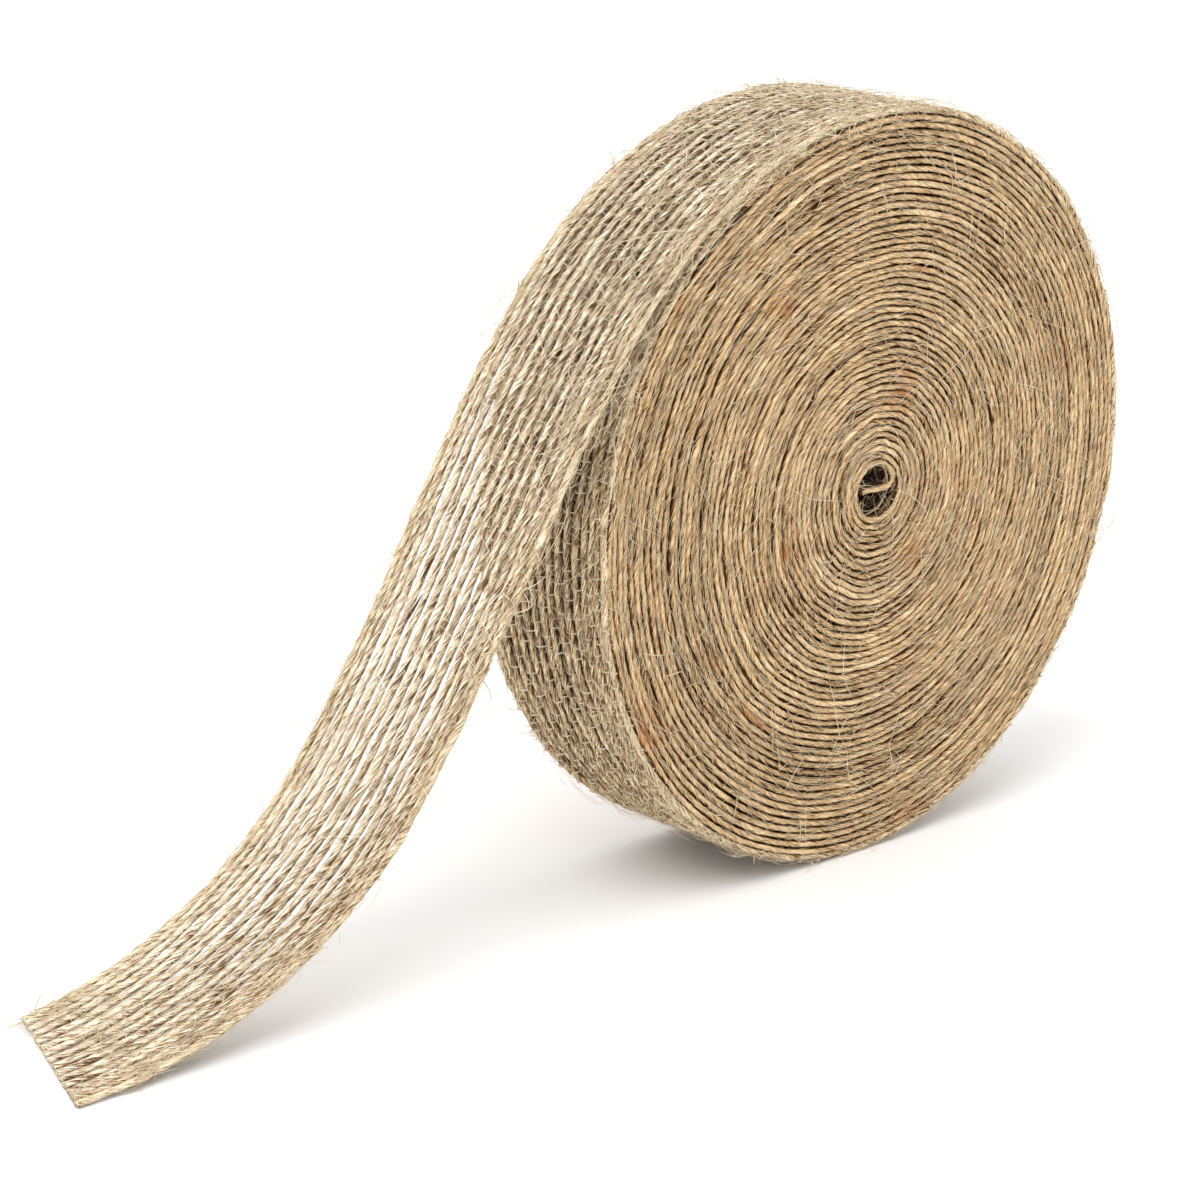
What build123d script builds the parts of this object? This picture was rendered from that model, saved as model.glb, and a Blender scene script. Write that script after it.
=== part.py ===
"""A coreless roll of open-weave jute ribbon that stands on its rim, with its free tail run out to the floor.

The ribbon is built as it is woven: sixteen warp yarns side by side, the outer two being the selvedges, and
a thin weft thread that crosses them from edge to edge. The wound turns are one spiral, repeated for every
warp yarn. The outermost turn and the tail are the stretch of ribbon that is being pulled off. The roll turns
inside that outermost turn, and the tail bends at four places.

+Z is up and +Y runs along the roll's axis. The tail runs out towards -X.
The origin is the centre of the base of the whole object.
"""

import os
from math import copysign, cos, degrees, hypot, radians, sin

from build123d import *

os.makedirs("parts", exist_ok=True)

# The ribbon, in millimetres
ribbon_width = 38.0
warp_count = 16
warp_width = 1.6
warp_thickness = 1.4
weft_diameter = 0.4
weft_pitch = 3.5
weft_gap = 0.02
warp_pitch = (ribbon_width - warp_width) / (warp_count - 1)

# The roll
roll_radius = 85.7
running_gap = 0.3
whole_turns = 49
# The wound turns bed into each other, with the weft of one in the hollows of the next.
layer_pitch = 1.56
roll_end_angle = 124.0
fold_radius = 2.0
fold_angle = 30.0

# The outermost turn and the tail that leaves it
outer_turn_start = 128.0
tail_leaves_at = 83.0
tail_turns = [31.8, 29.0, 7.7, -7.3, -28.4, -25.8]
root_stretches = 2
end_cut_skew = 15.3
joint_gap = 0.8

# The outermost turn's yarns stand on the floor, with their weft between them and the roll.
outer_centre_radius = roll_radius - warp_thickness / 2
weft_centre_radius = roll_radius - warp_thickness - weft_diameter / 2 - weft_gap
wound_centre_radius = weft_centre_radius - weft_diameter / 2 - running_gap - warp_thickness / 2
first_turn_radius = wound_centre_radius - whole_turns * layer_pitch

# The tail is a chain of equal stretches, each one arc, whose end lies flat on the floor. That sets their length.
tail_turns[-1] -= sum(tail_turns) + tail_leaves_at - 90.0


def arc_end(start, heading, length, turn):
    """Where an arc of this length and turn ends, with its heading there. Angles are in radians."""
    chord = length * sin(turn / 2) / (turn / 2)
    middle = heading + turn / 2
    return (start[0] + chord * cos(middle), start[1] + chord * sin(middle)), heading + turn


def tail_stations(start, length):
    """The start of each stretch of the tail, and the tail's end, as (point, heading)."""
    stations = [(start, radians(tail_leaves_at + 90.0))]
    for turn in tail_turns:
        stations.append(arc_end(*stations[-1], length, radians(turn)))
    return stations


leaving_height = roll_radius + outer_centre_radius * sin(radians(tail_leaves_at))
drop = leaving_height - warp_thickness / 2
unit_drop = -tail_stations((0.0, 0.0), 1.0)[-1][0][1]
stretch_length = drop / unit_drop
leaving_x = outer_centre_radius * cos(radians(tail_leaves_at))
tail_end_x = tail_stations((leaving_x, leaving_height), stretch_length)[-1][0][0]
axis_x = -(tail_end_x + roll_radius) / 2
stations = tail_stations((axis_x + leaving_x, leaving_height), stretch_length)
roll_centre = (axis_x, roll_radius)
print("stretch of the tail", round(stretch_length, 2), "mm")
print("roll axis at x", round(axis_x, 3), "z", roll_radius)


def save(part, name):
    """Labels a finished piece and writes it as its own STEP file."""
    part.label = name
    export_step(part, f"parts/{name}.step")


# ---------------------------------------------------------------------------------------------------------
# The wound roll: one flat spiral, extruded once for every warp yarn
# ---------------------------------------------------------------------------------------------------------


def tangent_arcs(start, heading, steps, offset):
    """Draws arcs end to end, each a (radius, turn in degrees), on a line that runs offset to the right of them.

    Returns where the offset line ends.
    """
    x, y = start
    heading = radians(heading)
    for radius, turn in steps:
        bend = copysign(1, turn)
        centre = (x - bend * radius * sin(heading), y + bend * radius * cos(heading))
        CenterArc(centre, radius + bend * offset, degrees(heading) - bend * 90, turn)
        heading += radians(turn)
        x = centre[0] + bend * radius * sin(heading)
        y = centre[1] - bend * radius * cos(heading)
    return (x + offset * sin(heading), y - offset * cos(heading))


# Half turns whose radius grows by half a layer each time, and a last one that stops short.
wound_steps = [
    (first_turn_radius + half_turn * layer_pitch / 2, 180.0) for half_turn in range(2 * whole_turns)
]
wound_steps.append((wound_centre_radius, roll_end_angle - fold_angle))

# Backwards from the first turn: the ribbon folds off the wall of the eye and crosses it in a shallow wave.
fold_steps = [(fold_radius, -124.0), (8.0, 12.0), (8.0, -18.0), (8.0, 26.0)]


def warp_lane(lane):
    """The height along the roll's axis at which this warp yarn's face nearest the front lies."""
    return -ribbon_width / 2 + lane * warp_pitch


lane_names = (
    ["roll_selvedge_front"]
    + [f"roll_warp_{lane:02d}" for lane in range(1, warp_count - 1)]
    + ["roll_selvedge_back"]
)
fold_way = radians(fold_angle)
wound_plane = Plane(
    origin=(axis_x, 0, roll_radius), x_dir=(cos(fold_way), 0, sin(fold_way)), z_dir=(0, -1, 0)
)
with BuildSketch(wound_plane) as wound_outline:
    with BuildLine():
        first_turn = (first_turn_radius, 0)
        half_thickness = warp_thickness / 2
        outer_end = tangent_arcs(first_turn, 90, wound_steps, half_thickness)
        inner_end = tangent_arcs(first_turn, 90, wound_steps, -half_thickness)
        Line(outer_end, inner_end)
        fold_left = tangent_arcs(first_turn, -90, fold_steps, -half_thickness)
        fold_right = tangent_arcs(first_turn, -90, fold_steps, half_thickness)
        Line(fold_left, fold_right)
    make_face()

for lane, name in enumerate(lane_names):
    back_face = Location((0, warp_lane(lane) + warp_width, 0))
    with BuildPart() as wound_yarn:
        extrude(wound_outline.sketch.moved(back_face), amount=warp_width)
    save(wound_yarn.part, name)


# ---------------------------------------------------------------------------------------------------------
# The outermost turn and the tail: yarns turned about each stretch's own centre
# ---------------------------------------------------------------------------------------------------------


def section_plane(point, heading):
    """The plane across the ribbon, with local x away from the roll and local y along its axis."""
    return Plane(
        origin=(point[0], 0, point[1]),
        x_dir=(sin(heading), 0, -cos(heading)),
        z_dir=(cos(heading), 0, sin(heading)),
    )


def bend_axis(point, heading, length, turn):
    """The axis that a stretch of this length and turn bends about, directed so that a turn forwards is positive."""
    radius = length / turn
    centre = (point[0] - radius * sin(heading), 0, point[1] + radius * cos(heading))
    return Axis(centre, (0, -copysign(1, turn), 0))


def lane_locations(first, last):
    """The middles of a run of warp yarns on a section plane, whose local y may face either way."""
    middles = [warp_lane(lane) + warp_width / 2 for lane in range(first, last + 1)]
    return [(0, middle) for middle in middles]


inner_lanes = lane_locations(1, warp_count - 2)
edge_lanes = lane_locations(0, 0) + lane_locations(warp_count - 1, warp_count - 1)


def bend_yarns(lanes, point, heading, length, turn):
    """Adds warp yarns along one stretch to the part that is being built."""
    with BuildSketch(section_plane(point, heading)) as section:
        with Locations(*lanes):
            Rectangle(warp_thickness, warp_width)
    bend = bend_axis(point, heading, length, turn)
    revolve(section.sketch, axis=bend, revolution_arc=abs(degrees(turn)))


def weave_weft(stretches, side):
    """Adds one weft thread that runs from edge to edge and back along these stretches.

    A stretch is (point, heading, length, turn, margin at its start, margin at its end), and side is +1 for a
    thread that lies on the face away from the roll, or -1 for the face towards it.
    """
    lift = side * (warp_thickness / 2 + weft_gap + weft_diameter / 2)
    crossings = []
    for point, heading, length, turn, before, after in stretches:
        usable = length - before - after
        count = round(usable / weft_pitch)
        for number in range(count):
            along = before + (number + 0.5) * usable / count
            (x, z), way = arc_end(point, heading, along, turn * along / length)
            crossings.append((x + lift * sin(way), z - lift * cos(way)))
    bars = [Plane(origin=(x, 0, z), z_dir=(0, 1, 0)) for x, z in crossings]
    with Locations(*bars):
        Cylinder(weft_diameter / 2, ribbon_width)
    edge = ribbon_width / 2 - weft_diameter / 2
    returns = []
    for number, (here, after) in enumerate(zip(crossings, crossings[1:])):
        middle = ((here[0] + after[0]) / 2, edge * (-1) ** number, (here[1] + after[1]) / 2)
        returns.append(Plane(origin=middle, z_dir=(after[0] - here[0], 0, after[1] - here[1])))
    longest = max(hypot(b[0] - a[0], b[1] - a[1]) for a, b in zip(crossings, crossings[1:]))
    with Locations(*returns):
        Cylinder(weft_diameter / 2, longest + weft_diameter)


# The outermost turn starts under the tail and runs round to where the tail leaves.
outer_sweep = radians(360.0 + tail_leaves_at - outer_turn_start)
outer_length = outer_sweep * outer_centre_radius
outer_heading = radians(outer_turn_start + 90.0)
outer_point = (
    axis_x + outer_centre_radius * cos(radians(outer_turn_start)),
    roll_radius + outer_centre_radius * sin(radians(outer_turn_start)),
)
for name, lane in (("outer_turn_selvedge_front", 0), ("outer_turn_selvedge_back", warp_count - 1)):
    with BuildPart() as outer_selvedge:
        bend_yarns(lane_locations(lane, lane), outer_point, outer_heading, outer_length, outer_sweep)
    save(outer_selvedge.part, name)

with BuildPart() as outer_warp:
    bend_yarns(inner_lanes, outer_point, outer_heading, outer_length, outer_sweep)
save(outer_warp.part, "outer_turn_warp")

with BuildPart() as outer_weft:
    weave_weft([(outer_point, outer_heading, outer_length, outer_sweep, 0, 0)], -1)
save(outer_weft.part, "outer_turn_weft")

# The first piece of the tail holds the stretches that lie over the roll. Each later piece is one stretch.
stretches = [(*station, stretch_length, radians(turn)) for station, turn in zip(stations, tail_turns)]
pieces = [stretches[:root_stretches]] + [[stretch] for stretch in stretches[root_stretches:]]

# The end is cut straight but askew, longest at the front edge.
end_point = (stations[-1][0][0], -ribbon_width / 2, stations[-1][0][1])
end_cut = Plane(origin=end_point, x_dir=(end_cut_skew, ribbon_width, 0), z_dir=(-ribbon_width, end_cut_skew, 0))


def trimmed(stretch, before, after):
    """The stretch without a length at its start and another at its end."""
    point, heading, length, turn = stretch
    start, start_heading = arc_end(point, heading, before, turn * before / length) if before else (point, heading)
    left = length - before - after
    return start, start_heading, left, turn * left / length


for number, piece in enumerate(pieces, start=1):
    last = number == len(pieces)
    ends = [(0, 0) for stretch in piece]
    ends[0] = (0 if number == 1 else joint_gap / 2, ends[0][1])
    ends[-1] = (ends[-1][0], 0 if last else joint_gap / 2)
    spans = [trimmed(stretch, *margins) for stretch, margins in zip(piece, ends)]

    for kind, lanes in (("warp", inner_lanes), ("selvedges", edge_lanes)):
        with BuildPart() as tail_yarns:
            for span in spans:
                bend_yarns(lanes, *span)
            if last:
                split(bisect_by=end_cut, keep=Keep.BOTTOM)
        save(tail_yarns.part, f"tail_{number}_{kind}")

    with BuildPart() as tail_weft:
        margins = [[0, 0] for span in spans]
        margins[-1][1] = end_cut_skew if last else 0
        weave_weft([(*span, *margin) for span, margin in zip(spans, margins)], 1)
    save(tail_weft.part, f"tail_{number}_weft")
    print(f"tail_{number} ends at", [round(value, 2) for value in stations[number + root_stretches - 1][0]])
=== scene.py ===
"""The looks of a coreless roll of open-weave jute ribbon, yarn by yarn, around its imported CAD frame.

Every yarn is a twisted tube and every weft thread weaves over and under them. The wound turns show their
yarns on both sides of the roll and on its rim, and loose fibres stand off all of it. Lengths are in metres.
"""

from math import cos, pi, radians, sin

import bpy
import numpy as np
from mathutils import Matrix, Vector


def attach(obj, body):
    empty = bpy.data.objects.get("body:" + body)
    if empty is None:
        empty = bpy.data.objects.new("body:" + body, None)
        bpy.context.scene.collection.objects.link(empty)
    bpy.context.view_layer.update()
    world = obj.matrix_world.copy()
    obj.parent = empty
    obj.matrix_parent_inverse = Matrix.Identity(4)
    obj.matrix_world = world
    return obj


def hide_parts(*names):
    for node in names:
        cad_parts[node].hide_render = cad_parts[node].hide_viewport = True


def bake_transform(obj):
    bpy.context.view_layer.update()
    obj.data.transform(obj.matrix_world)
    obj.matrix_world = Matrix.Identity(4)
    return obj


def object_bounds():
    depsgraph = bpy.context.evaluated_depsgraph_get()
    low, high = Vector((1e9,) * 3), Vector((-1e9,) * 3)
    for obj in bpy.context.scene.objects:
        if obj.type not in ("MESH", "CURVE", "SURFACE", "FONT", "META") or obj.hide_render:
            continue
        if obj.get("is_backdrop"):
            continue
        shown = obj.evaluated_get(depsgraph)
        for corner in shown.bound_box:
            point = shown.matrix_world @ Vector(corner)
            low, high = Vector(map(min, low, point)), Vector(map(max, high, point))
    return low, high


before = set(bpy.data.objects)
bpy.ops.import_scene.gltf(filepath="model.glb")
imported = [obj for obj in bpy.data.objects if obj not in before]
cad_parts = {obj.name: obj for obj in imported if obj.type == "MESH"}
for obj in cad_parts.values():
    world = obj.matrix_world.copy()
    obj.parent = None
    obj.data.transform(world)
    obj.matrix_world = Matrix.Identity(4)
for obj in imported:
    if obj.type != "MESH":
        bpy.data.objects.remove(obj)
bounds_at_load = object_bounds()
scene = bpy.context.scene

# -----------------------------------------------------------------------------
# Dimensions, the same as the CAD's
# -----------------------------------------------------------------------------

RIBBON_WIDTH = 0.038
YARNS = 16
YARN_HALF_WIDTH = 0.0008
YARN_HALF_THICKNESS = 0.0007
LAYER = 0.00156
WEFT_RADIUS = 0.00013
WEFT_PITCH = 0.0035

ROLL_RADIUS = 0.0857
AXIS_X = 0.067322
OUTER_RADIUS = 0.085
WOUND_RADIUS = 0.08288
WHOLE_TURNS = 49
FIRST_RADIUS = WOUND_RADIUS - WHOLE_TURNS * LAYER
WOUND_END_ANGLE = 124.0
FOLD_ANGLE = 30.0
FOLD_STEPS = [(0.002, -124.0), (0.008, 12.0), (0.008, -18.0), (0.008, 26.0)]

OUTER_TURN_START = 128.0
TAIL_LEAVES_AT = 83.0
TAIL_TURNS = [31.8, 29.0, 7.7, -7.3, -28.4]
TAIL_TURNS.append(90.0 - TAIL_LEAVES_AT - sum(TAIL_TURNS))
STRETCH = 0.0509
END_CUT_SKEW = 0.0153

# What the CAD leaves out: a yarn's strands, which go once round in this length, and the loose fibres
TWIST_PITCH = 0.0150
STRANDS = 5
FIBRE_RADIUS = 0.000055

# The two sides of the roll, by their direction along its axis
FRONT = -1.0
BACK = 1.0


# -----------------------------------------------------------------------------
# Lines in the plane of the roll: arcs end to end
# -----------------------------------------------------------------------------


class Line:
    """Arcs end to end, each a (length, turn in radians), from a point and heading in the x-z plane."""

    def __init__(self, start, heading, arcs):
        self.lengths = np.array([length for length, turn in arcs])
        self.turns = np.array([turn for length, turn in arcs])
        self.starts = np.concatenate([[0.0], np.cumsum(self.lengths)])
        self.points = [np.array(start, float)]
        self.headings = [heading]
        for length, turn in arcs:
            self.points.append(self.points[-1] + chord(length, turn, self.headings[-1]))
            self.headings.append(self.headings[-1] + turn)
        self.points = np.array(self.points)
        self.headings = np.array(self.headings)
        self.length = self.starts[-1]

    def at(self, along):
        """The points, and the headings, at these distances along the line."""
        along = np.asarray(along, float)
        arc = np.clip(np.searchsorted(self.starts, along, side="right") - 1, 0, len(self.lengths) - 1)
        part = along - self.starts[arc]
        turn = self.turns[arc] * part / self.lengths[arc]
        return self.points[arc] + chord(part, turn, self.headings[arc]), self.headings[arc] + turn


def chord(length, turn, heading):
    """The straight step from an arc's start to its end."""
    step = length * np.sinc(np.asarray(turn) / 2 / pi)
    middle = heading + turn / 2
    return np.stack([step * np.cos(middle), step * np.sin(middle)], axis=-1)


def polar(radius, angle):
    """A point this far from the roll's axis, at an angle from the x axis in degrees."""
    return (AXIS_X + radius * cos(radians(angle)), ROLL_RADIUS + radius * sin(radians(angle)))


# The outermost turn starts tucked in under the tail, then runs on into the tail.
TUCK_ANGLE = 110.0
TUCK_DEPTH = 0.0007
tuck_sweep = radians(OUTER_TURN_START - TUCK_ANGLE)
turn_sweep = radians(360.0 + TAIL_LEAVES_AT - OUTER_TURN_START)
tail_arcs = [(STRETCH, radians(turn)) for turn in TAIL_TURNS]
ribbon = Line(
    polar(OUTER_RADIUS, TUCK_ANGLE),
    radians(TUCK_ANGLE + 90.0),
    [(tuck_sweep * OUTER_RADIUS, tuck_sweep), (turn_sweep * OUTER_RADIUS, turn_sweep)] + tail_arcs,
)
tuck_length = tuck_sweep * OUTER_RADIUS
tail_start = (tuck_sweep + turn_sweep) * OUTER_RADIUS

# The wound ribbon starts at the end of its fold in the eye, and spirals out from there.
fold = Line(
    polar(FIRST_RADIUS, FOLD_ANGLE),
    radians(FOLD_ANGLE - 90.0),
    [(radius * abs(radians(turn)), radians(turn)) for radius, turn in FOLD_STEPS],
)
fold_arcs = [(length, -turn) for length, turn in zip(fold.lengths[::-1], fold.turns[::-1])]
spiral_arcs = [(pi * (FIRST_RADIUS + half_turn * LAYER / 2), pi) for half_turn in range(2 * WHOLE_TURNS)]
last_sweep = radians(WOUND_END_ANGLE - FOLD_ANGLE)
spiral_arcs.append((WOUND_RADIUS * last_sweep, last_sweep))
wound = Line(fold.points[-1], fold.headings[-1] + pi, fold_arcs + spiral_arcs)


# -----------------------------------------------------------------------------
# Tubes gathered into meshes
# -----------------------------------------------------------------------------


def ease(part):
    """Goes from 0 to 1 as part does, slowly at both ends."""
    return part * part * (3 - 2 * part)


def wander(along, total, step, size, rng):
    """A smooth random value along a line of this total length, that changes about once in every step."""
    knots = rng.normal(0.0, size, int(total / step) + 3)
    place = np.clip(along / step, 0, len(knots) - 2.001)
    whole = place.astype(int)
    part = ease(place - whole)
    return knots[whole] * (1 - part) + knots[whole + 1] * part


def streak_place(along, seed):
    """The distance along a tube in millimetres, moved on by its seed so that no two have the same streaks."""
    return along * 1000.0 + seed * 37.0


class Pile:
    """Tubes gathered into one mesh, with what their material has to know about each point.

    strand is the direction round the yarn that turns with its twist, and the place along it. ridge is 1 on a
    strand and 0 in the groove between two. tone is below 0 where it is dark and above 0 where it is pale.
    rust is 1 on a fleck, and shade is 1 where the yarn lies against its neighbours and less light gets in.
    """

    KEYS = ("ridge", "tone", "rust", "shade")

    def __init__(self):
        self.points = []
        self.faces = []
        self.caps = []
        self.slots = []
        self.cap_slots = []
        self.strand = []
        self.values = {key: [] for key in self.KEYS}
        self.count = 0

    def tube(self, rings, strand, slot=0, **values):
        """Adds tubes. rings is (tubes, rings, sides, 3), and each value fits its points."""
        tubes, steps, sides = rings.shape[:3]
        index = self.count + np.arange(tubes * steps * sides).reshape(tubes, steps, sides)
        here = index[:, :-1, :]
        ahead = index[:, 1:, :]
        quads = np.stack([here, np.roll(here, -1, 2), np.roll(ahead, -1, 2), ahead], axis=-1).reshape(-1, 4)
        self.faces.append(quads)
        self.slots.append(np.full(len(quads), slot))
        self.caps += [index[:, 0, ::-1], index[:, -1, :]]
        self.cap_slots.append(np.full(2 * tubes, slot))
        self.points.append(rings.reshape(-1, 3))
        self.strand.append(strand.reshape(-1, 3))
        for key in self.KEYS:
            self.values[key].append(np.broadcast_to(values.get(key, 0.0), rings.shape[:3]).reshape(-1))
        self.count += tubes * steps * sides

    def build(self, name, *materials):
        """Makes the object."""
        loops = np.concatenate([faces.reshape(-1) for faces in self.faces + self.caps]).astype(np.int32)
        sizes = np.concatenate([np.full(len(faces), faces.shape[1]) for faces in self.faces + self.caps])
        slots = np.concatenate(self.slots + self.cap_slots).astype(np.int32)
        mesh = bpy.data.meshes.new(name)
        mesh.vertices.add(self.count)
        mesh.vertices.foreach_set("co", np.concatenate(self.points).astype(np.float32).ravel())
        mesh.loops.add(len(loops))
        mesh.loops.foreach_set("vertex_index", loops)
        mesh.polygons.add(len(sizes))
        mesh.polygons.foreach_set("loop_start", (np.cumsum(sizes) - sizes).astype(np.int32))
        mesh.polygons.foreach_set("material_index", slots)
        mesh.update(calc_edges=True)
        mesh.shade_smooth()
        strand = mesh.attributes.new("strand", "FLOAT_VECTOR", "POINT")
        strand.data.foreach_set("vector", np.concatenate(self.strand).astype(np.float32).ravel())
        for key, values in self.values.items():
            attribute = mesh.attributes.new(key, "FLOAT", "POINT")
            attribute.data.foreach_set("value", np.concatenate(values).astype(np.float32))
        for material in materials:
            mesh.materials.append(material)
        made = bpy.data.objects.new(name, mesh)
        scene.collection.objects.link(made)
        return made


# -----------------------------------------------------------------------------
# Warp yarns
# -----------------------------------------------------------------------------

# Brown flecks in the tail's yarns: (distance along the tail, height along the roll's axis, length, depth)
TAIL_FLECKS = [
    (0.1825, 0.0066, 0.005, 0.5),
    (0.0950, 0.0002, 0.006, 0.6),
    (0.0900, -0.0165, 0.010, 0.6),
    (0.2350, 0.0030, 0.005, 0.35),
    (0.2610, -0.0090, 0.006, 0.3),
    (0.1180, -0.0035, 0.006, 0.35),
]

# Slivers of dark bark caught in the tail: (distance along the tail, height along the roll's axis, length)
SLIVERS = [(0.1605, 0.0079, 0.0060), (0.1702, 0.0070, 0.0085), (0.0912, -0.0150, 0.0050)]

# The steps between the yarns next to the front edge and next to the back edge. The rest are wider, and even.
FRONT_STEPS = [0.00178, 0.00182, 0.00195, 0.0023]
BACK_STEPS = [0.0021, 0.0018]


def lane_heights():
    """Where each yarn's middle lies along the roll's axis, front first."""
    even = YARNS - 1 - len(FRONT_STEPS) - len(BACK_STEPS)
    spare = RIBBON_WIDTH - 2 * YARN_HALF_WIDTH - sum(FRONT_STEPS + BACK_STEPS)
    steps = FRONT_STEPS + [spare / even] * even + BACK_STEPS
    return -RIBBON_WIDTH / 2 + YARN_HALF_WIDTH + np.concatenate([[0.0], np.cumsum(steps)])


LANES = lane_heights()

# The outer wound turns are spread to meet the outermost one: from this radius out, and by this much at the
# rim where the last turn isn't lower.
SPREAD_FROM = 0.050
SPREAD_GAP = 0.00038
# The last wound turn comes down by a layer over this angle past the wound ribbon's end.
STEP_DOWN_ANGLE = 24.0

# Waves in the wound turns: (waves in a turn, radians that they shift in a metre outwards, size). They start at
# the radius WAVES_FADE_IN and are whole at twice that, and they fade out over the last WAVES_FADE_OUT.
TURN_WAVES = [
    (2, 95.0, 0.00013),
    (3, -150.0, 0.00012),
    (5, 160.0, 0.00013),
    (9, -230.0, 0.00012),
    (15, 300.0, 0.00008),
    (24, -420.0, 0.00006),
]
WAVES_FADE_IN = 0.006
WAVES_FADE_OUT = 0.012


def settle(middle):
    """How far out the wound turns are pushed at these points, nearly the same for turns that touch."""
    x = middle[..., 0] - AXIS_X
    z = middle[..., 1] - ROLL_RADIUS
    radius = np.hypot(x, z)
    angle = np.arctan2(z, x)
    push = sum(size * np.sin(number * angle + shift * radius + number) for number, shift, size in TURN_WAVES)
    push = push * np.clip((WOUND_RADIUS - radius) / WAVES_FADE_OUT, 0, 1)
    push = push * np.clip((radius - WAVES_FADE_IN) / WAVES_FADE_IN, 0, 1)

    # Past the wound ribbon's end the last turn lies one layer lower, and comes up again over the next turn.
    past_fold = np.mod(angle - radians(FOLD_ANGLE), 2 * pi)
    past_end = (past_fold - radians(WOUND_END_ANGLE - FOLD_ANGLE)) / radians(STEP_DOWN_ANGLE)
    lower = np.where(past_fold < pi, ease(np.clip(past_end, 0, 1)), (1 - np.cos(past_fold)) / 2)
    last = WOUND_RADIUS - lower * LAYER
    share = np.clip((radius - SPREAD_FROM) / (last - SPREAD_FROM), 0, 1)
    return push + (SPREAD_GAP + lower * LAYER) * share


# Reddish patches on the side faces: (radius, angle from the x axis in degrees, size, depth)
STAINS = [
    (0.0233, 71.6, 0.0040, 1.0),
    (0.0260, 0.0, 0.0035, 0.7),
    (0.0290, 201.0, 0.0040, 0.7),
    (0.0230, -50.0, 0.0035, 0.7),
    (0.0800, -149.0, 0.0060, 0.9),
    (0.0830, -77.5, 0.0045, 0.8),
    (0.0560, 128.0, 0.0050, 0.5),
    (0.0660, 20.0, 0.0060, 0.5),
]


def stained(middle):
    """How deep the reddish patches are at these points."""
    deepest = np.zeros(len(middle))
    for radius, angle, size, depth in STAINS:
        away = np.hypot(*(middle - polar(radius, angle)).T)
        deepest = np.maximum(deepest, depth * np.exp(-((away / size) ** 2)))
    return deepest


# How yarns differ along their length, each as (about how far apart the changes are, usual size of a change).
# A slub, which is a thicker and paler part, is where its value goes past a start, and so is a brown fleck.
SLUB_CHANGE = (0.013, 1.0)
SLUB_START = 1.5
SLUB_SWELL = 0.2
SLUB_TONE = 0.5
SWELL_CHANGES = [(0.006, 0.06), (0.0019, 0.045)]
SWELL_LIMITS = (0.8, 1.28)
OFF_CHANGES = [(0.009, 0.00006), (0.0028, 0.00004)]
SIDE_CHANGES = [(0.012, 0.00019), (0.0035, 0.00009)]
TWIST_CHANGE = (0.008, 0.6)
TONE_CHANGES = [(0.03, 0.18), (0.007, 0.168)]
YARN_TONE = 0.12
FLECK_CHANGE = (0.011, 1.0)
FLECK_START = 2.3
FLECK_DEPTH = 0.6
# How sharply one of the tail's flecks ends, and how far its middle may be from a yarn's
FLECK_EDGE = 2.2
FLECK_REACH = 0.0014

# Wound yarns wander less of their own, and more with a slow wave.
WOUND_OFF_SHARE = 0.65
PACKED_SIDE_SHARE = 0.7
PACKED_OFF_CHANGE = (0.022, 0.00004)
PACKED_SIDE_CHANGE = (0.09, 0.00020)
PACKED_TONE_CHANGES = [(0.2, 0.3), (0.03, 0.25)]
# The painted shade in the gaps between packed turns is broken into dashes: its mean, its change and its limits
GAP_SHADE = 0.95
GAP_CHANGE = (0.005, 0.3)
GAP_LIMITS = (0.3, 1.4)
STAIN_SHARE = 0.7
STAIN_CHANGE = (0.003, 0.5)
STAIN_LIMITS = (0, 1.2)

# A yarn's girth between its strands and how far the strands stand out, both as shares of its size
GIRTH = 0.98
STRAND_SWELL = 0.05
# The turns press each other's yarns a little square: 1 is round.
SQUARE_POWER = 0.95

# Painted shade: how dark a packed yarn is painted where it is hidden and how much of that the open side is
# without, and how dark a free yarn's flanks and its face towards the roll are painted
HIDDEN_SHADE = 1.05
OPEN_SIDE = 1.25
FLANK_SHADE = 0.75
UNDER_SHADE = 0.45


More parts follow.
